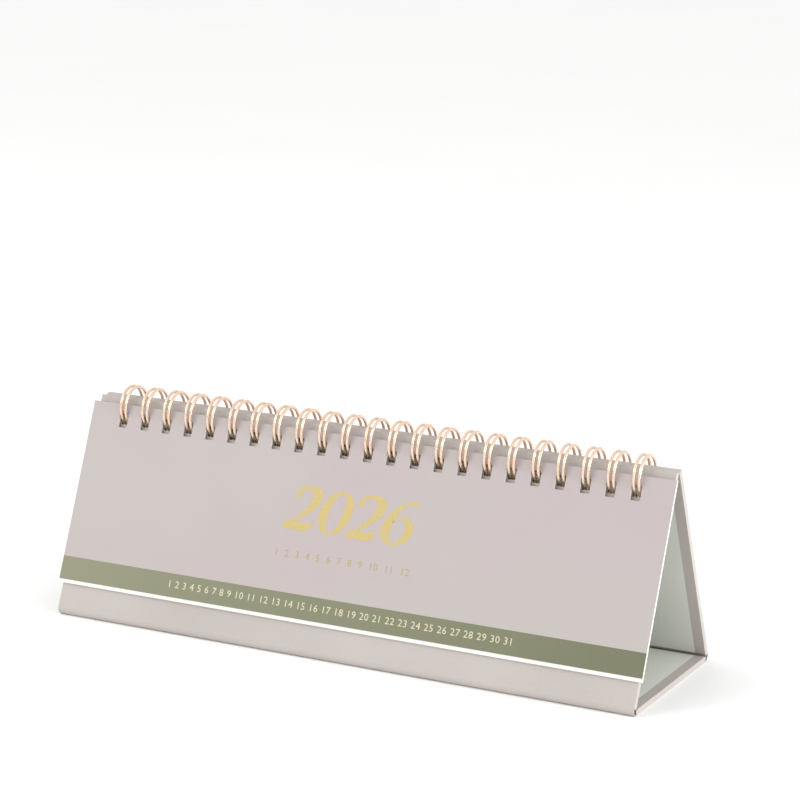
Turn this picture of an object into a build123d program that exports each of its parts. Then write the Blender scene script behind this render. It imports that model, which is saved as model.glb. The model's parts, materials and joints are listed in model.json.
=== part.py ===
from build123d import *
from math import asin, cos, degrees, hypot, radians, sin, tan
import os

# Flip desk calendar: a tent of three covered boards, a twin-loop wire along its
# ridge, and a cover and twelve month leaves that turn on the wire.
# Millimetres. X along the ridge, -Y to the front, +Z up, origin on the ground
# under the middle of the tent.

# ---- Stand ----
STAND_LENGTH = 209.0
STAND_DEPTH = 63.6          # between the corners that the flat faces would meet at
LEAN = radians(23.0)        # of both panels, from upright
APEX_GAP = 0.3              # between the inner top edges of the two panels
BOARD = 1.65                # greyboard
WRAP = 0.2                  # covering paper
LINING = 0.15               # lining paper
TURN_IN = 0.12              # covering paper turned in under the lining
LINING_INSET = 3.5          # lining's edge, in from each end
LINING_BACK_OFF = 0.8       # lining's edge, in from each fold
FOLD_CLEARANCE = 0.15       # between the boards' inner edges at the two bottom folds

# ---- Twin-loop wire ----
RING_PITCH = 25.4 / 3
RING_COUNT = 23
WIRE = 1.0
RING_RADIUS = 6.65          # to the middle of the wire
RING_RISE = 4.0             # top of the rings above the top of the panels
PAIR_SPACING = 1.8          # between the two wires of one loop
BRIDGE_BEND = 1.3           # bend from a loop into the bar to the next one
TIP_ANGLE = radians(14.0)   # where the closed tip begins, in front of straight down
BASE_ANGLE = radians(17.5)  # where the bar's bend begins, behind straight down

# ---- Leaves ----
LEAF_LENGTH = 211.5
LEAF_HEIGHT = 62.4
COVER_SHORT = 1.2           # cover's lower edge, above the month leaves' edges
LEAF = 0.06
LEAF_PITCH = 0.07
MONTHS = 12
COVER = 0.2
BOARD_CLEARANCE = 0.12      # innermost leaf, past the corner of a panel's top
REST_CLEARANCE = 0.05       # innermost leaf's lower edge, off the front panel
TOP_BELOW_RING = 0.5        # leaf's top edge, below the middle of the rings

# ---- Punched holes ----
HOLE_WIDTH = 3.5
HOLE_CORNER = 0.5
LEAF_HOLE_HEIGHT = 4.8
BOARD_HOLE_HEIGHT = 4.0
HOLE_CLEARANCE = 0.17       # between the wire and the edge that bears on it

# ---- Worked out from the above ----
PANEL = WRAP + BOARD + LINING
STACK_INNER = WRAP + BOARD
FOLD_RADIUS = STACK_INNER + FOLD_CLEARANCE
STAND_HEIGHT = (STAND_DEPTH / 2 - APEX_GAP / 2 - PANEL * cos(LEAN)) / tan(LEAN)
PANEL_TOP = STAND_HEIGHT / cos(LEAN)
FOLD_LENGTH = FOLD_RADIUS / tan((radians(90) - LEAN) / 2)
BASE_HALF = STAND_DEPTH / 2 - FOLD_LENGTH

RING_Z = STAND_HEIGHT + RING_RISE - WIRE / 2 - RING_RADIUS
RING_TO_PANEL = STAND_DEPTH / 2 * cos(LEAN) - RING_Z * sin(LEAN)
RING_FOOT = STAND_DEPTH / 2 * sin(LEAN) + RING_Z * cos(LEAN)

CORNER_REACH = hypot(APEX_GAP / 2 + PANEL * cos(LEAN), STAND_HEIGHT - RING_Z)
FIRST_LEAF = CORNER_REACH + BOARD_CLEARANCE
COVER_INNER = FIRST_LEAF + MONTHS * LEAF_PITCH
COVER_OUTER = COVER_INNER + COVER
LEAF_TOP = -TOP_BELOW_RING
LEAF_BOTTOM = LEAF_TOP - LEAF_HEIGHT
LEAF_SETTLE = asin((FIRST_LEAF - RING_TO_PANEL - REST_CLEARANCE) / -LEAF_BOTTOM)
LEAF_LEAN = LEAN - LEAF_SETTLE

HOLE_REACH = RING_PITCH * (RING_COUNT - 1) / 2


def chord(distance):
    """How far below the foot of the perpendicular a ring crosses a plane."""
    return (RING_RADIUS**2 - distance**2) ** 0.5


def wire_half_width(distance):
    """Half the height of the wire's slanting section in a plane."""
    return WIRE / 2 * RING_RADIUS / chord(distance)


# A leaf hangs by the upper edges of its holes.  A panel carries the rings on
# the lower edges of its holes.
LEAF_HOLE_TOP = -chord(COVER_OUTER) + wire_half_width(COVER_OUTER) + HOLE_CLEARANCE
LEAF_HOLE_BOTTOM = LEAF_HOLE_TOP - LEAF_HOLE_HEIGHT
INNER_FACE = RING_TO_PANEL - PANEL
BOARD_HOLE_BOTTOM = RING_FOOT - chord(INNER_FACE) - wire_half_width(INNER_FACE) - HOLE_CLEARANCE
BOARD_HOLE_TOP = BOARD_HOLE_BOTTOM + BOARD_HOLE_HEIGHT

# The front panel's own frame: X along the ridge, Y up the slope from the bottom
# corner, Z out of the covered face.
FRONT = Plane(
    origin=(0, -STAND_DEPTH / 2, 0), x_dir=(1, 0, 0), z_dir=(0, -cos(LEAN), sin(LEAN))
)
# The leaves' frame at rest: the same, with its origin in the middle of the rings.
LEAVES = Plane(
    origin=(0, 0, RING_Z), x_dir=(1, 0, 0), z_dir=(0, -cos(LEAF_LEAN), sin(LEAF_LEAN))
)


def slab(x_half, low, high, inner, outer):
    """A flat slab in a panel's frame, the same length each side of the middle."""
    middle = Pos(0, (low + high) / 2, (inner + outer) / 2)
    return middle * Box(2 * x_half, high - low, outer - inner)


def hole_row(low, high, inner, outer):
    """Cutters for one row of punched holes, in a panel's frame."""
    shape = RectangleRounded(HOLE_WIDTH, high - low, HOLE_CORNER)
    cutter = Pos(0, (low + high) / 2, inner) * extrude(shape, outer - inner)
    spots = [-HOLE_REACH + RING_PITCH * i for i in range(RING_COUNT)]
    return [Pos(x, 0, 0) * cutter for x in spots]


def panel_holes():
    return hole_row(BOARD_HOLE_BOTTOM, BOARD_HOLE_TOP, -PANEL - 1, 1)


def panel_board():
    """Greyboard of a leaning panel."""
    sheet = slab(
        STAND_LENGTH / 2 - WRAP, FOLD_LENGTH, PANEL_TOP - WRAP, -STACK_INNER, -WRAP
    )
    return sheet - panel_holes()


def end_turn_ins(low, high):
    """Covering paper on the inner face, from both ends to the lining's edge."""
    whole = slab(STAND_LENGTH / 2, low, high, -STACK_INNER - TURN_IN, -STACK_INNER)
    lined = slab(STAND_LENGTH / 2 - LINING_INSET, low, high, -PANEL, -STACK_INNER)
    return whole - lined


def panel_wrap():
    """Covering paper: outer face, top edge, both end edges and their turn-ins."""
    outside = slab(STAND_LENGTH / 2, FOLD_LENGTH, PANEL_TOP, -STACK_INNER, 0)
    board = slab(
        STAND_LENGTH / 2 - WRAP, FOLD_LENGTH, PANEL_TOP - WRAP, -STACK_INNER, -WRAP
    )
    flaps = end_turn_ins(FOLD_LENGTH + LINING_BACK_OFF, PANEL_TOP)
    return outside - board + flaps - panel_holes()


def panel_lining():
    """Lining paper on the inner face of a leaning panel."""
    sheet = slab(
        STAND_LENGTH / 2 - LINING_INSET,
        FOLD_LENGTH + LINING_BACK_OFF,
        PANEL_TOP,
        -PANEL,
        -STACK_INNER,
    )
    return sheet - panel_holes()


def base_slab(x_half, y_half, low, high):
    return Pos(0, 0, (low + high) / 2) * Box(2 * x_half, 2 * y_half, high - low)


def base_board():
    return base_slab(STAND_LENGTH / 2 - WRAP, BASE_HALF, WRAP, STACK_INNER)


def base_wrap():
    """Covering paper under the base, up its two ends and turned in."""
    outside = base_slab(STAND_LENGTH / 2, BASE_HALF, 0, STACK_INNER)
    board = base_slab(STAND_LENGTH / 2 - WRAP, BASE_HALF, WRAP, STACK_INNER)
    y_half = BASE_HALF - LINING_BACK_OFF
    flaps = base_slab(STAND_LENGTH / 2, y_half, STACK_INNER, STACK_INNER + TURN_IN)
    flaps -= base_slab(STAND_LENGTH / 2 - LINING_INSET, y_half, STACK_INNER, PANEL)
    return outside - board + flaps


def base_lining():
    y_half = BASE_HALF - LINING_BACK_OFF
    return base_slab(STAND_LENGTH / 2 - LINING_INSET, y_half, STACK_INNER, PANEL)


def fold():
    """Covering paper round the front bottom fold, tangent to both faces."""
    y, z = -BASE_HALF, FOLD_RADIUS

    def rim(radius):
        def at(angle):
            return (0, y - radius * cos(angle), z + radius * sin(angle))

        middle = (LEAN - radians(90)) / 2
        return ThreePointArc(at(LEAN), at(middle), at(radians(-90)))

    outer = rim(FOLD_RADIUS)
    inner = rim(FOLD_RADIUS - WRAP)
    outline = outer + inner + Line(outer @ 0, inner @ 0) + Line(outer @ 1, inner @ 1)
    return extrude(make_face(outline), STAND_LENGTH / 2, dir=(1, 0, 0), both=True)


def ring_point(x, angle, along=0.0):
    """A point on the ring's centre line, and then along its tangent.

    angle is from straight down towards the front.  The tangent points the way
    that the wire runs from its bar to its tip: up the back and down the front.
    """
    y = -RING_RADIUS * sin(angle) + along * cos(angle)
    z = RING_Z - RING_RADIUS * cos(angle) - along * sin(angle)
    return (x, y, z)


def ring_loop():
    """One double loop, from the middle of one bar to the middle of the next."""
    half = PAIR_SPACING / 2
    base = -BASE_ANGLE
    top = radians(-180)
    tip = TIP_ANGLE - radians(360)
    bar = BRIDGE_BEND
    slant = BRIDGE_BEND * sin(radians(45))

    def side(sign):
        corner = ring_point(sign * (half + bar - slant), base, -slant)
        bend = ThreePointArc(
            ring_point(sign * (half + bar), base, -bar), corner, ring_point(sign * half, base)
        )
        straight = Line(
            ring_point(sign * RING_PITCH / 2, base, -bar),
            ring_point(sign * (half + bar), base, -bar),
        )
        ring = ThreePointArc(
            ring_point(sign * half, base),
            ring_point(sign * half, top),
            ring_point(sign * half, tip),
        )
        return [straight, bend, ring]

    bow = ThreePointArc(
        ring_point(-half, tip), ring_point(0, tip, half), ring_point(half, tip)
    )
    edges = [item.edge() for item in side(-1) + [bow] + side(1)]
    path = Wire(edges)
    start = Plane(origin=ring_point(-RING_PITCH / 2, base, -bar), x_dir=(0, 0, 1), z_dir=(1, 0, 0))
    loop = sweep(start * Circle(WIRE / 2), path=path)
    section = 3.14159265 * (WIRE / 2) ** 2
    print("loop volume over section times length:", round(loop.volume / (section * path.length), 4))
    return loop


def binding_wire():
    loop = ring_loop()
    loops = [Pos(-HOLE_REACH + RING_PITCH * i, 0, 0) * loop for i in range(RING_COUNT)]
    return loops[0].fuse(*loops[1:])


def leaf(inner, outer, bottom=LEAF_BOTTOM):
    """A punched leaf between two distances from the middle of the rings."""
    sheet = slab(LEAF_LENGTH / 2, bottom, LEAF_TOP, inner, outer)
    return sheet - hole_row(LEAF_HOLE_BOTTOM, LEAF_HOLE_TOP, inner - 1, outer + 1)


def build_all():
    parts = {
        "front_board": FRONT * panel_board(),
        "front_wrap": FRONT * panel_wrap(),
        "front_lining": FRONT * panel_lining(),
        "front_fold": fold(),
        "base_board": base_board(),
        "base_wrap": base_wrap(),
        "base_lining": base_lining(),
        "binding_wire": binding_wire(),
        "cover_leaf": LEAVES * leaf(COVER_INNER, COVER_OUTER, LEAF_BOTTOM + COVER_SHORT),
    }
    for front, back in (
        ("front_board", "back_board"),
        ("front_wrap", "back_wrap"),
        ("front_lining", "back_lining"),
        ("front_fold", "rear_fold"),
    ):
        parts[back] = mirror(parts[front], about=Plane.XZ)
    for month in range(1, MONTHS + 1):
        inner = FIRST_LEAF + (MONTHS - month) * LEAF_PITCH
        parts[f"month_leaf_{month:02d}"] = LEAVES * leaf(inner, inner + LEAF)
    return parts


os.makedirs("parts", exist_ok=True)
for name, shape in build_all().items():
    shape.label = name
    export_step(shape, f"parts/{name}.step")

print("stand height", round(STAND_HEIGHT, 3), "ring centre z", round(RING_Z, 4))
print("leaf lean", round(degrees(LEAF_LEAN), 3))
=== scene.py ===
# %% [markdown]
# # A flip desk calendar
# The calendar is a little tent of three covered boards. A twin-loop wire runs along its
# ridge and carries a printed card cover and twelve month leaves, which flip over the top.
# Its construction comes in as a fixed frame. This lesson leaves the frame's boards, papers
# and leaves where they are. It adds a smooth round wire in place of the frame's own, the
# ink, the look of each paper, the light and the camera.

# %% Frame
import json
import math

import bpy
import numpy as np
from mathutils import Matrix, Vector


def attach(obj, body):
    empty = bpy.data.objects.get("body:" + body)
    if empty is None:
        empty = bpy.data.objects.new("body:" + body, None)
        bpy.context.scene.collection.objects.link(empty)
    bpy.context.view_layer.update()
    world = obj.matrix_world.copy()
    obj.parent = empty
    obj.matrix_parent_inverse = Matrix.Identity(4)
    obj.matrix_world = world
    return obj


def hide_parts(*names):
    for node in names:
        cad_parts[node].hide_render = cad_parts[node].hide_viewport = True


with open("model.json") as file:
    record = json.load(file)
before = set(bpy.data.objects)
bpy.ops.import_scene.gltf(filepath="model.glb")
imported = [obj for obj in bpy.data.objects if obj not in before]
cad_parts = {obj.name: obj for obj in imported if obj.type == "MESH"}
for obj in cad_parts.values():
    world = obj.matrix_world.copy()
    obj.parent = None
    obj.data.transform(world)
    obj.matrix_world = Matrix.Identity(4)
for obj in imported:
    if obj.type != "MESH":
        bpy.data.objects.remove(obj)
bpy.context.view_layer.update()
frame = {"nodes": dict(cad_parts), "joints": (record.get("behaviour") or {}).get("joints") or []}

MM = 0.001
NODES = frame["nodes"]

# %% [markdown]
# ## Where things are
# Every place is worked out from the frame. The rings are round the hinge that the cover
# turns on. The cover is a flat sheet, so the direction that its own points spread most in,
# seen from the side, is the slope that it lies at. A point on the cover is then three
# numbers: across it, up it, and off its face.

# %% Measures
RING_COUNT = 23
RING_PITCH = 25.4 / 3 * MM    # three loops to an inch
RING_RADIUS = 6.65 * MM       # to the middle of the wire
WIRE_RADIUS = 0.5 * MM
COVER_JOINT = next(joint for joint in frame["joints"] if joint["name"] == "cover_turn")
HINGE = Vector(COVER_JOINT["pos_m"])


def node_points(node):
    """A node's points as an array."""
    co = np.empty(len(NODES[node].data.vertices) * 3)
    NODES[node].data.vertices.foreach_get("co", co)
    return co.reshape(-1, 3)


def slope_of(node):
    """A sheet's lean from upright: the angle of the direction that its points spread most
    in, side on, once that direction is made to point upwards."""
    side_on = node_points(node)[:, 1:]
    longest = np.linalg.eigh(np.cov(side_on.T))[1][:, -1]
    return math.atan2(*(longest * np.sign(longest[1])))


LEAN = slope_of("cover_leaf")
ACROSS = Vector((1, 0, 0))
UP_SLOPE = Vector((0, math.sin(LEAN), math.cos(LEAN)))
OFF_FACE = Vector((0, -math.cos(LEAN), math.sin(LEAN)))


def span(node, axis):
    """Lowest and highest distance of a node's points from the hinge, along an axis."""
    along = (node_points(node) - np.array(HINGE)) @ np.array(axis)
    return float(along.min()), float(along.max())


COVER_LOW, COVER_HIGH = span("cover_leaf", UP_SLOPE)
COVER_FACE = span("cover_leaf", OFF_FACE)[1]
COVER_HALF = span("cover_leaf", ACROSS)[1]
print("lean", round(math.degrees(LEAN), 2), "cover", round(COVER_LOW / MM, 2), "to",
      round(COVER_HIGH / MM, 2), "face", round(COVER_FACE / MM, 3), "mm")


def on_leaf(across, up, off):
    """Points from a leaf's own numbers: the hinge, plus each number times its direction."""
    grid = np.multiply.outer(across, np.array(ACROSS)) + np.multiply.outer(up, np.array(UP_SLOPE))
    return grid + np.multiply.outer(off, np.array(OFF_FACE)) + np.array(HINGE)


# %% [markdown]
# ## Node helpers
# A material here is a Principled shader with a few noises. Two effects are used by more
# than one paper, so each is a node group made once: the tooth of uncoated paper, and the
# slow change of tone across a sheet that has been handled.

# %% Node helpers
def connect(tree, source, target):
    """A link from an output to an input."""
    tree.links.new(source, target)


def add(tree, kind, **values):
    """A node with its properties and its unlinked inputs set by name."""
    node = tree.nodes.new(kind)
    for name, value in values.items():
        if name in node.inputs:
            node.inputs[name].default_value = value
        else:
            setattr(node, name, value)
    return node


def noise(tree, vector, scale, detail=3.0, rough=0.5):
    """Noise over a vector, as one value between 0 and 1."""
    node = add(tree, "ShaderNodeTexNoise", Scale=scale, Detail=detail, Roughness=rough)
    connect(tree, vector, node.inputs["Vector"])
    return node.outputs["Fac"]


def remap(tree, value, low, high, to_low, to_high):
    """A value carried from one range to another and held inside the second."""
    node = add(tree, "ShaderNodeMapRange")
    for name, number in zip(("From Min", "From Max", "To Min", "To Max"),
                            (low, high, to_low, to_high)):
        node.inputs[name].default_value = number
    connect(tree, value, node.inputs["Value"])
    return node.outputs["Result"]


def mix_colour(tree, factor, first, second):
    """Two colours, each a value or a socket, mixed by a factor."""
    node = add(tree, "ShaderNodeMix", data_type="RGBA")
    connect(tree, factor, node.inputs[0])
    for socket, colour in ((node.inputs[6], first), (node.inputs[7], second)):
        if isinstance(colour, bpy.types.NodeSocket):
            connect(tree, colour, socket)
        else:
            socket.default_value = (*colour, 1)
    return node.outputs[2]


def group(name, inputs, outputs):
    """An empty shader node group. An input is a name and a default, where None makes it a
    vector, and an output is a name."""
    tree = bpy.data.node_groups.new(name, "ShaderNodeTree")
    for label, default in inputs:
        kind = "NodeSocketVector" if default is None else "NodeSocketFloat"
        socket = tree.interface.new_socket(label, in_out="INPUT", socket_type=kind)
        if default is not None:
            socket.default_value = default
    for label in outputs:
        tree.interface.new_socket(label, in_out="OUTPUT", socket_type="NodeSocketFloat")
    return tree, tree.nodes.new("NodeGroupInput"), tree.nodes.new("NodeGroupOutput")


# %% [markdown]
# ## Paper tooth and tone
# Uncoated paper has fine pits with felted fibres among them. One noise gives the pits, and
# a second one, stretched along the sheet, gives the fibres. A picture of paper could do
# the same, but it would repeat and would have to be fitted to each sheet.

# %% Paper tooth and tone
def make_tooth():
    """Height of uncoated paper: fine grain with longer felted fibres laid over it."""
    tree, given, result = group("paper_tooth", [("Vector", None), ("Fibre", 0.5)], ["Height"])
    grain = noise(tree, given.outputs["Vector"], 5200, 4, 0.62)
    stretch = add(tree, "ShaderNodeMapping", Scale=(900, 2600, 2600))
    connect(tree, given.outputs["Vector"], stretch.inputs["Vector"])
    fibre = noise(tree, stretch.outputs["Vector"], 1.0, 2, 0.5)
    blend = add(tree, "ShaderNodeMix")
    connect(tree, given.outputs["Fibre"], blend.inputs[0])
    connect(tree, grain, blend.inputs[2])
    connect(tree, fibre, blend.inputs[3])
    connect(tree, blend.outputs[0], result.inputs["Height"])
    return tree


def make_tone():
    """Slow and fine changes of a sheet's tone, about 0.5."""
    tree, given, result = group("sheet_tone", [("Vector", None)], ["Tone"])
    slow = noise(tree, given.outputs["Vector"], 24, 2, 0.5)
    fine = noise(tree, given.outputs["Vector"], 1400, 3, 0.6)
    blend = add(tree, "ShaderNodeMix", Factor=0.35)
    connect(tree, slow, blend.inputs[2])
    connect(tree, fine, blend.inputs[3])
    connect(tree, blend.outputs[0], result.inputs["Tone"])
    return tree


TOOTH = make_tooth()
TONE = make_tone()
print("node groups:", TOOTH.name, TONE.name)


# %% [markdown]
# ## What the materials share
# Every material starts with its node tree, its shader and the Object coordinates, which
# stay with a piece when it turns. The papers also share one surface, rough and slightly
# bumpy, so that only their colours and amounts differ.

# %% Material base
def new_material(name):
    """A node material with its shader and its Object coordinates."""
    material = bpy.data.materials.new(name)
    material.use_nodes = True
    tree = material.node_tree
    shader = tree.nodes["Principled BSDF"]
    place = tree.nodes.new("ShaderNodeTexCoord").outputs["Object"]
    return material, tree, shader, place


def use_group(tree, which, place):
    """A shared node group placed in a material."""
    node = tree.nodes.new("ShaderNodeGroup")
    node.node_tree = which
    connect(tree, place, node.inputs["Vector"])
    return node


def paper_surface(tree, shader, place, bump, fibre):
    """Bump and roughness of a matt paper, from the shared tooth."""
    tooth = use_group(tree, TOOTH, place)
    tooth.inputs["Fibre"].default_value = fibre
    relief = add(tree, "ShaderNodeBump", Strength=bump, Distance=0.00004)
    connect(tree, tooth.outputs["Height"], relief.inputs["Height"])
    connect(tree, relief.outputs["Normal"], shader.inputs["Normal"])
    rough = remap(tree, tooth.outputs["Height"], 0.3, 0.7, 0.62, 0.82)
    connect(tree, rough, shader.inputs["Roughness"])
    shader.inputs["Specular IOR Level"].default_value = 0.28


def paper(name, dark, light, bump=0.35, fibre=0.45):
    """A plain matt paper between two close tones."""
    material, tree, shader, place = new_material(name)
    tone = use_group(tree, TONE, place).outputs["Tone"]
    spread = remap(tree, tone, 0.35, 0.65, 0, 1)
    connect(tree, mix_colour(tree, spread, dark, light), shader.inputs["Base Color"])
    paper_surface(tree, shader, place, bump, fibre)
    return material


# %% [markdown]
# ## Papers
# The stand is covered in a warm uncoated paper and lined with one that is paler and a
# little greener. The month leaves are a whiter, smoother stock. Greyboard hardly shows
# except in the punched holes, and it gets flecks of recycled fibre.

# %% Papers
COVERING = paper("covering_paper", (0.470, 0.428, 0.402), (0.520, 0.476, 0.450))
LINING = paper("lining_paper", (0.690, 0.705, 0.645), (0.740, 0.755, 0.695), 0.25, 0.3)
LEAF_PAPER = paper("leaf_paper", (0.80, 0.795, 0.765), (0.84, 0.835, 0.81), 0.15, 0.3)


def greyboard():
    """Pressed recycled board: grey with darker flecks."""
    material, tree, shader, place = new_material("greyboard")
    fleck = remap(tree, noise(tree, place, 2600, 4, 0.7), 0.55, 0.72, 0, 1)
    colour = mix_colour(tree, fleck, (0.33, 0.31, 0.28), (0.17, 0.15, 0.13))
    connect(tree, colour, shader.inputs["Base Color"])
    paper_surface(tree, shader, place, 0.8, 0.7)
    return material


def finish_nodes(names, material):
    """Gives each named node of the frame one material, in place of what it came with."""
    for name in names:
        NODES[name].data.materials.clear()
        NODES[name].data.materials.append(material)
    print(material.name, "on", ", ".join(names))


GREYBOARD = greyboard()
MONTH_LEAVES = sorted(name for name in NODES if name.startswith("month_leaf"))
finish_nodes(["front_wrap", "back_wrap", "base_wrap", "front_fold", "rear_fold"], COVERING)
finish_nodes(["front_lining", "back_lining", "base_lining"], LINING)
finish_nodes(["front_board", "back_board", "base_board"], GREYBOARD)
finish_nodes(MONTH_LEAVES, LEAF_PAPER)

# %% [markdown]
# ## The cover's print
# The cover is one card, printed edge to edge: a blush ground that drifts towards grey,
# and a sage band along the lower edge. The band follows the card, so its edge is a
# distance up the card's slope, which is a dot product of the Object coordinates with the
# slope's direction. The sage is paler towards the left end. The cut edges and the back
# stay white card.

# %% Cover card
BAND_TOP = COVER_LOW + 7.8 * MM
PRINT_EDGE = 0.05 * MM    # the band's edge softens this far to each side
PRINT_DEPTH = 0.02 * MM   # the card is white from this far under its face
WHITE_CARD = (0.78, 0.77, 0.74)


def distance_along(tree, place, direction):
    """How far a point lies from the hinge along a direction."""
    offset = add(tree, "ShaderNodeVectorMath", operation="SUBTRACT")
    offset.inputs[1].default_value = HINGE
    connect(tree, place, offset.inputs[0])
    along = add(tree, "ShaderNodeVectorMath", operation="DOT_PRODUCT")
    along.inputs[1].default_value = direction
    connect(tree, offset.outputs[0], along.inputs[0])
    return along.outputs["Value"]


def cover_card():
    """Printed card: blush ground and sage band on its face, white at its edges and back."""
    material, tree, shader, place = new_material("cover_card")
    up = distance_along(tree, place, UP_SLOPE)
    off = distance_along(tree, place, OFF_FACE)
    drift = remap(tree, noise(tree, place, 26, 1.0, 0.4), 0.42, 0.58, 0, 1)
    tone = remap(tree, use_group(tree, TONE, place).outputs["Tone"], 0.3, 0.7, 0, 1)
    blush = mix_colour(tree, drift, (0.478, 0.418, 0.418), (0.462, 0.437, 0.412))
    ground = mix_colour(tree, tone, blush, (0.486, 0.440, 0.432))
    across = distance_along(tree, place, ACROSS)
    fade = remap(tree, across, -COVER_HALF, COVER_HALF, 1, 0)
    sage = mix_colour(tree, fade, (0.150, 0.162, 0.094), (0.262, 0.262, 0.182))
    sage = mix_colour(tree, remap(tree, tone, 0, 1, 0, 0.25), sage, (0.270, 0.275, 0.190))
    band = remap(tree, up, BAND_TOP - PRINT_EDGE, BAND_TOP + PRINT_EDGE, 1, 0)
    printed = mix_colour(tree, band, ground, sage)
    face = remap(tree, off, COVER_FACE - PRINT_DEPTH, COVER_FACE - PRINT_DEPTH / 2, 0, 1)
    connect(tree, mix_colour(tree, face, WHITE_CARD, printed), shader.inputs["Base Color"])
    paper_surface(tree, shader, place, 0.3, 0.4)
    return material


finish_nodes(["cover_leaf"], cover_card())
print("sage band", round((BAND_TOP - COVER_LOW) / MM, 1), "mm high")


# %% [markdown]
# ## Mesh helpers
# A surface made from a grid of points needs only one rule for its faces: each point joins
# the next along and the next across. Ink could be part of a paper's material, but small
# figures would need a picture. Here it is a single sheet of faces, laid just off the
# paper, so its edges stay sharp from close by.

# %% Mesh helpers
def mesh_piece(name, points, faces, material, smooth=True):
    """A new object at the origin, from its points, its faces and one material."""
    mesh = bpy.data.meshes.new(name)
    mesh.from_pydata(points.reshape(-1, 3), [], faces)
    mesh.materials.append(material)
    mesh.polygons.foreach_set("use_smooth", np.full(len(mesh.polygons), smooth))
    piece = bpy.data.objects.new(name, mesh)
    bpy.context.scene.collection.objects.link(piece)
    return piece


def grid_faces(rows, columns, start=0, wrap=False):
    """Quads of a rows by columns grid of points, closed across the columns if wrapped."""
    r = np.arange(rows - 1)[:, None]
    c = np.arange(columns if wrap else columns - 1)[None, :]
    nxt = (c + 1) % columns
    quads = np.stack([r * columns + c, r * columns + nxt,
                      (r + 1) * columns + nxt, (r + 1) * columns + c], axis=-1)
    return (quads.reshape(-1, 4) + start).tolist()


# %% [markdown]
# ## The twin-loop wire
# One wire makes all the loops. It runs along a bar, bends up round the back of the ring,
# over the ridge and down the front, turns round in a closed tip, and comes back beside
# itself to the next bar. Its centre line is worked out for one loop and repeated at the
# pitch. A circle is then carried along it: at each point the circle stands square to the
# wire's own direction. Its two wires lie closer at the tip than over the ridge, as on a
# pressed binding. A curve object with a round bevel would make much the same tube, but
# worked out this way every point of the wire comes from a formula that can be read.

# %% Wire centre line
PAIR_TIP = 0.78 * MM      # half the space between the wires at the tip
PAIR_TOP = 1.0 * MM       # and over the ridge
BAR_BEND = 1.3 * MM       # radius of the bend from the ring into a bar
TIP_ANGLE = math.radians(14.0)                  # the tip, in front of straight down
BAR_ANGLE = 2 * math.pi - math.radians(17.5)    # the bar, nearly a whole turn on
WIDEST_AT = 0.45          # share of the way round at which the wires are fully apart
BEND_POINTS = 9
RING_POINTS = 72
BAR_POINTS = 4


def ring_place(x, angle, along=0.0):
    """A point on the ring, by its angle from straight down, then along the tangent."""
    y = -RING_RADIUS * np.sin(angle) + along * np.cos(angle)
    z = HINGE.z - RING_RADIUS * np.cos(angle) - along * np.sin(angle)
    return np.stack(np.broadcast_arrays(x, y, z), axis=-1)


def half_loop():
    """Right half of one loop, from the middle of its tip to the middle of its bar: a
    quarter circle, the ring, another quarter circle and half the bar. The ring's half
    width grows with its share s of the way to the widest place, as 3s^2 - 2s^3."""
    bend = np.linspace(0, math.pi / 2, BEND_POINTS)
    tangent = ring_place(0, TIP_ANGLE, 1) - ring_place(0, TIP_ANGLE)
    bow = ring_place(PAIR_TIP * np.sin(bend[:-1]), TIP_ANGLE)
    bow = bow + np.multiply.outer(PAIR_TIP * np.cos(bend[:-1]), tangent)
    angle = np.linspace(TIP_ANGLE, BAR_ANGLE, RING_POINTS)
    share = (angle - TIP_ANGLE) / (BAR_ANGLE - TIP_ANGLE)
    swell = np.clip(share / WIDEST_AT, 0, 1)
    half = PAIR_TIP + (PAIR_TOP - PAIR_TIP) * swell * swell * (3 - 2 * swell)
    ring = ring_place(half, angle)
    foot_x = PAIR_TOP + BAR_BEND * (1 - np.cos(bend[1:]))
    foot = ring_place(foot_x, BAR_ANGLE, -BAR_BEND * np.sin(bend[1:]))
    bar_x = np.linspace(PAIR_TOP + BAR_BEND, RING_PITCH / 2, BAR_POINTS)[1:]
    bar = ring_place(bar_x, BAR_ANGLE, -BAR_BEND)
    return np.concatenate([bow, ring, foot, bar])


def wire_line():
    """Centre line of the whole wire, loop after loop."""
    right = half_loop()
    left = right[::-1] * np.array([-1, 1, 1])
    one = np.concatenate([left[:-1], right])[:-1]
    shift = (np.arange(RING_COUNT) - (RING_COUNT - 1) / 2) * RING_PITCH
    whole = one[None] + shift[:, None, None] * np.array([1, 0, 0])
    last = right[-1] + np.array([shift[-1], 0, 0])
    return np.concatenate([whole.reshape(-1, 3), last[None]])


LINE = wire_line()
length = np.linalg.norm(np.diff(LINE, axis=0), axis=1).sum()
print("wire:", len(LINE), "points,", round(length, 3), "m")


# %% Wire tube
def tube(line, radius, sides):
    """Circle carried along a line: each point is the line's, plus the radius times cosine
    and sine of two directions square to it. The first is the ring's outward direction,
    less its part along the wire, and the second is square to both."""
    tangent = np.gradient(line, axis=0)
    tangent /= np.linalg.norm(tangent, axis=1, keepdims=True)
    outward = line - np.array(HINGE)
    outward[:, 0] = 0
    first = outward - (outward * tangent).sum(1, keepdims=True) * tangent
    first /= np.linalg.norm(first, axis=1, keepdims=True)
    second = np.cross(tangent, first)
    turn = np.linspace(0, 2 * math.pi, sides, endpoint=False)
    outwards = np.cos(turn)[None, :, None] * first[:, None]
    sideways = np.sin(turn)[None, :, None] * second[:, None]
    return line[:, None] + radius * (outwards + sideways)


SIDES = 16
skin = tube(LINE, WIRE_RADIUS, SIDES)
wire_faces = grid_faces(len(LINE), SIDES, wrap=True)
first_ring = list(range(SIDES))
last_ring = [point + (len(LINE) - 1) * SIDES for point in first_ring]
wire_faces += [first_ring[::-1], last_ring]


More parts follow.
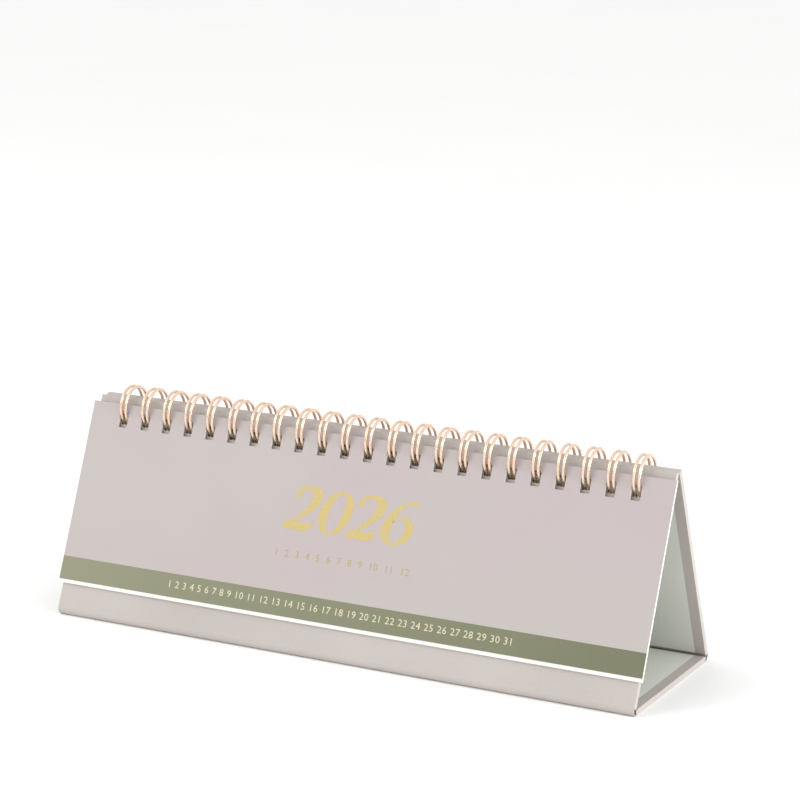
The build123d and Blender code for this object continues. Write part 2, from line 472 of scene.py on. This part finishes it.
def champagne_wire():
    """Coated steel wire: warm metal with a fine grain and small dull marks."""
    material, tree, shader, place = new_material("champagne_wire")
    marks = remap(tree, noise(tree, place, 900, 3, 0.6), 0.45, 0.7, 0, 1)
    colour = mix_colour(tree, marks, (0.860, 0.650, 0.500), (0.780, 0.565, 0.425))
    connect(tree, colour, shader.inputs["Base Color"])
    connect(tree, remap(tree, marks, 0, 1, 0.24, 0.36), shader.inputs["Roughness"])
    shader.inputs["Metallic"].default_value = 0.8
    relief = add(tree, "ShaderNodeBump", Strength=0.12, Distance=0.00002)
    connect(tree, noise(tree, place, 4200, 2, 0.5), relief.inputs["Height"])
    connect(tree, relief.outputs["Normal"], shader.inputs["Normal"])
    shader.inputs["Coat Weight"].default_value = 0.25
    shader.inputs["Coat Roughness"].default_value = 0.2
    return material


wire = mesh_piece("twin_loop_wire", skin, wire_faces, champagne_wire())
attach(wire, "stand")
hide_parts("binding_wire")
print("wire faces:", len(wire_faces))

# %% [markdown]
# ## Numerals
# The year is printed in dull gold, in a bold sloping numeral with thick and thin strokes.
# Each numeral is one or two strokes: a smooth line through a few points, with a width at
# each point, swept into a ribbon. The points are in units of the numeral's height.

# %% Numeral strokes
STROKE_STEPS = 7          # points of a ribbon for each point of a stroke
STROKES = {
    "0": [([(0.50, 0.975), (0.28, 0.84), (0.19, 0.50), (0.28, 0.16), (0.50, 0.025), (0.72, 0.16),
            (0.81, 0.50), (0.72, 0.84), (0.50, 0.975)],
           [0.05, 0.16, 0.25, 0.16, 0.05, 0.16, 0.25, 0.16, 0.05])],
    "2": [([(0.20, 0.72), (0.24, 0.90), (0.46, 0.97), (0.70, 0.88), (0.74, 0.68), (0.60, 0.45),
            (0.36, 0.24), (0.17, 0.09)],
           [0.13, 0.11, 0.07, 0.20, 0.25, 0.15, 0.08, 0.05]),
          ([(0.10, 0.085), (0.40, 0.095), (0.62, 0.085), (0.76, 0.12), (0.84, 0.25)],
           [0.16, 0.19, 0.19, 0.15, 0.04])],
    "6": [([(0.80, 0.95), (0.55, 0.93), (0.32, 0.76), (0.20, 0.46), (0.24, 0.17), (0.48, 0.015),
            (0.72, 0.12), (0.80, 0.33), (0.70, 0.53), (0.50, 0.60), (0.30, 0.50)],
           [0.11, 0.06, 0.15, 0.25, 0.20, 0.05, 0.17, 0.23, 0.15, 0.05, 0.04])],
}
INK_OFF = 0.012 * MM      # ink above the paper
SLANT = 0.22              # how far a numeral leans for each unit up
NUMERAL_WIDTH = 0.92      # and how wide it is drawn


def smooth_line(values, steps):
    """Catmull-Rom curve: passes through each value and heads for the next but one."""
    values = np.asarray(values, float)
    padded = np.concatenate([2 * values[:1] - values[1:2], values, 2 * values[-1:] - values[-2:-1]])
    t = np.linspace(0, 1, steps, endpoint=False)[None, :, None]
    a, b, c, d = (padded[i:len(padded) - 3 + i, None] for i in range(4))
    curve = 0.5 * (2 * b + (c - a) * t + (2 * a - 5 * b + 4 * c - d) * t**2
                   + (3 * b - a - 3 * c + d) * t**3)
    return np.concatenate([curve.reshape(-1, values.shape[1]), values[-1:]])


def ribbon(points, widths):
    """Both edges of a stroke: its line, moved half its width to each side."""
    line = smooth_line(points, STROKE_STEPS)
    width = smooth_line(np.array(widths)[:, None], STROKE_STEPS)
    run = np.gradient(line, axis=0)
    run /= np.linalg.norm(run, axis=1, keepdims=True)
    side = np.stack([-run[:, 1], run[:, 0]], axis=1)
    return np.stack([line + side * width / 2, line - side * width / 2], axis=1)


def numeral_text(text, height, left, base, advance):
    """Ribbons of a row of numerals: across, up and off the card, and faces. A numeral's
    second stroke lies a little further off the card than its first, so that they never
    share a plane."""
    flats, faces, start = [], [], 0
    for place, digit in enumerate(text):
        for layer, (points, widths) in enumerate(STROKES[digit]):
            edge = ribbon(points, widths)
            leaned = edge[..., 0] * NUMERAL_WIDTH + edge[..., 1] * SLANT
            across = left + height * leaned + place * advance
            up = base + height * edge[..., 1]
            off = np.full(across.shape, INK_OFF * (1 + layer / 2))
            flats.append(np.stack([across, up, off], axis=-1).reshape(-1, 3))
            faces += grid_faces(len(edge), 2, start)
            start += len(edge) * 2
    return np.concatenate(flats), faces


# %% [markdown]
# ## Inks
# Ink on uncoated paper is never quite even. A fine noise moves each ink between two close
# tones, and between two degrees of shine. The year's gold has a trace of metal in it, and
# the other inks have none.

# %% Inks
def ink(name, dark, light, metal, rough):
    """Printed ink: two close tones and two roughnesses, mixed by one fine noise."""
    material, tree, shader, place = new_material(name)
    worn = remap(tree, noise(tree, place, 3000, 3, 0.6), 0.4, 0.65, 0, 1)
    connect(tree, mix_colour(tree, worn, dark, light), shader.inputs["Base Color"])
    connect(tree, remap(tree, worn, 0, 1, rough, rough + 0.15), shader.inputs["Roughness"])
    shader.inputs["Metallic"].default_value = metal
    return material


GOLD_INK = ink("gold_ink", (0.500, 0.390, 0.150), (0.580, 0.465, 0.200), 0.15, 0.45)
PALE_GOLD_INK = ink("pale_gold_ink", (0.400, 0.310, 0.130), (0.450, 0.355, 0.165), 0.0, 0.5)
BAND_INK = ink("band_ink", (0.640, 0.600, 0.400), (0.700, 0.660, 0.460), 0.0, 0.5)
GREY_INK = ink("grey_ink", (0.110, 0.115, 0.105), (0.150, 0.155, 0.145), 0.0, 0.55)


# %% The year
YEAR_HEIGHT = 14.6 * MM
YEAR_LEFT = -27.2 * MM
YEAR_ADVANCE = 11.6 * MM
YEAR_BASE = COVER_LOW + 28.3 * MM
flat, year_faces = numeral_text("2026", YEAR_HEIGHT, YEAR_LEFT, YEAR_BASE, YEAR_ADVANCE)
points = on_leaf(flat[:, 0], flat[:, 1], COVER_FACE + flat[:, 2])
year = mesh_piece("year_numerals", points, year_faces, GOLD_INK, smooth=False)
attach(year, "cover")
print("year faces:", len(year_faces))

# %% [markdown]
# ## Small print
# The rows of small numbers are Blender's own plain type, made into a mesh. The row under
# the year counts the months, and the band counts the days. Ribbons like the year's would
# do too, but at this size a drawn letter gains nothing over a ready one.

# %% Small print
def type_flat(text, size, spacing):
    """Flat points and faces of a line of type, from a text object that is then removed."""
    curve = bpy.data.curves.new("type", "FONT")
    curve.body = text
    curve.size = size
    curve.align_x = "CENTER"
    curve.space_character = spacing
    curve.resolution_u = 2
    holder = bpy.data.objects.new("type", curve)
    bpy.context.scene.collection.objects.link(holder)
    bpy.context.view_layer.update()
    mesh = bpy.data.meshes.new_from_object(holder)
    co = np.empty(len(mesh.vertices) * 3)
    mesh.vertices.foreach_get("co", co)
    faces = [list(p.vertices) for p in mesh.polygons]
    bpy.data.objects.remove(holder)
    bpy.data.curves.remove(curve)
    bpy.data.meshes.remove(mesh)
    return co.reshape(-1, 3)[:, :2], faces


def print_piece(name, lines, off, material, body):
    """One printed piece from lines of type: each is its text, its size, its spacing, and
    the place of its middle across and up the leaf."""
    flats, faces, start = [], [], 0
    for text, size, spacing, across, up in lines:
        flat, new = type_flat(text, size, spacing)
        flats.append(flat + np.array([across, up]))
        faces += [[v + start for v in face] for face in new]
        start += len(flat)
    flat = np.concatenate(flats)
    points = on_leaf(flat[:, 0], flat[:, 1], np.full(len(flat), off))
    piece = mesh_piece(name, points, faces, material, smooth=False)
    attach(piece, body)
    print(name, "has", len(faces), "faces")


month_row = "  ".join(str(n) for n in range(1, 13))
day_row = " ".join(str(n) for n in range(1, 32))
print_piece("month_row", [(month_row, 3.4 * MM, 1.05, -2.3 * MM, COVER_LOW + 19.2 * MM)],
            COVER_FACE + INK_OFF, PALE_GOLD_INK, "cover")
print_piece("day_row", [(day_row, 3.3 * MM, 1.08, -1.0 * MM, COVER_LOW + 3.2 * MM)],
            COVER_FACE + INK_OFF, BAND_INK, "cover")

# %% [markdown]
# ## Month leaves
# Each month leaf is printed with its number, large on the left, and its days in a plain
# grid of seven columns. The paper is thin, so the ink lies only a few thousandths of a
# millimetre off it.

# %% Month prints
DAYS = [31, 28, 31, 30, 31, 30, 31, 31, 30, 31, 30, 31]
LEAF_INK_OFF = 0.004 * MM
FIRST_WEEKDAY = 3               # column that the first month starts in
COLUMN = 19                     # the grid of days, in millimetres on the leaf
ROW = 7
FIRST_COLUMN = -38
FIRST_ROW = 41


def month_lines(month, start_day):
    """Lines of type for one month: its number, then each day in its row and column."""
    lines = [(str(month), 16 * MM, 1.0, -78 * MM, COVER_LOW + 26 * MM)]
    for day in range(1, DAYS[month - 1] + 1):
        row, column = divmod(start_day + day - 1, 7)
        across = (FIRST_COLUMN + COLUMN * column) * MM
        up = COVER_LOW + (FIRST_ROW - ROW * row) * MM
        lines.append((str(day), 4.2 * MM, 1.0, across, up))
    return lines


weekday = FIRST_WEEKDAY
for number, node in enumerate(MONTH_LEAVES, 1):
    face = span(node, OFF_FACE)[1]
    print_piece(f"month_print_{number:02d}", month_lines(number, weekday), face + LEAF_INK_OFF,
                GREY_INK, f"month_{number:02d}")
    weekday = (weekday + DAYS[number - 1]) % 7
print("printed", len(MONTH_LEAVES), "month leaves")

# %% [markdown]
# ## Floor and light
# The calendar stands on a plain pale floor, so wide that its far edge never shows. A large
# soft light at the front left shows the cover, a smaller one at the right reaches into the
# open end, and a white world fills the shadows.

# %% Floor
FLOOR_REACH = 60.0


def floor_material():
    """Pale matt floor with hardly any change of tone."""
    material, tree, shader, place = new_material("pale_floor")
    tone = remap(tree, noise(tree, place, 6, 2, 0.5), 0.3, 0.7, 0, 1)
    connect(tree, mix_colour(tree, tone, (0.94, 0.94, 0.935), (0.955, 0.955, 0.95)),
            shader.inputs["Base Color"])
    shader.inputs["Roughness"].default_value = 0.9
    return material


corners = FLOOR_REACH * np.array([[-1, -1, 0], [1, -1, 0], [1, 1, 0], [-1, 1, 0]])
floor = mesh_piece("floor", corners, [[0, 1, 2, 3]], floor_material())


# %% Lights
MIDDLE = Vector((0, 0, 0.035))
WORLD_STRENGTH = 0.98


def area_light(name, place, size, power, colour):
    """A square soft light that faces the middle of the calendar."""
    data = bpy.data.lights.new(name, "AREA")
    data.size = size
    data.energy = power
    data.color = colour
    lamp = bpy.data.objects.new(name, data)
    lamp.location = place
    lamp.rotation_euler = (MIDDLE - Vector(place)).to_track_quat("-Z", "Y").to_euler()
    bpy.context.scene.collection.objects.link(lamp)


area_light("key_light", (-0.65, -0.65, 0.75), 0.7, 4.2, (1.0, 0.985, 0.965))
area_light("end_light", (0.95, 0.00, 0.22), 0.5, 5.5, (0.97, 0.99, 1.0))
world = bpy.data.worlds.new("studio")
world.use_nodes = True
background = world.node_tree.nodes["Background"]
background.inputs["Color"].default_value = (1.0, 1.0, 1.0, 1)
background.inputs["Strength"].default_value = WORLD_STRENGTH
bpy.context.scene.world = world
bpy.context.scene.view_settings.view_transform = "Standard"
print("lights and world in place")

# %% [markdown]
# ## Camera
# A long lens shows little perspective, so the calendar's long edges stay nearly parallel.
# The camera looks along one direction and is then slid sideways and upwards, which moves
# the calendar in the frame without turning it.

# %% Camera
AZIMUTH = math.radians(27.23)
ELEVATION = math.radians(13.46)
ROLL = math.radians(0.596)
DISTANCE = 0.9074
AIM_SIDE = 0.00712
AIM_UP = 0.07801
SENSOR_WIDTH = 36
LENS = 124.0875

back = Vector((math.sin(AZIMUTH) * math.cos(ELEVATION), -math.cos(AZIMUTH) * math.cos(ELEVATION),
               math.sin(ELEVATION)))
side = Vector((math.cos(AZIMUTH), math.sin(AZIMUTH), 0))
above = back.cross(side)
camera_data = bpy.data.cameras.new("camera")
camera_data.lens = LENS
camera_data.sensor_width = SENSOR_WIDTH
camera_data.clip_end = 200
camera = bpy.data.objects.new("camera", camera_data)
camera.location = back * DISTANCE + side * AIM_SIDE + above * AIM_UP
camera.rotation_euler = (-back).to_track_quat("-Z", "Y").to_matrix().to_euler()
camera.rotation_euler.rotate_axis("Z", ROLL)
bpy.context.scene.collection.objects.link(camera)
bpy.context.scene.camera = camera
print("camera", [round(v, 4) for v in camera.location], "lens", round(LENS, 1))
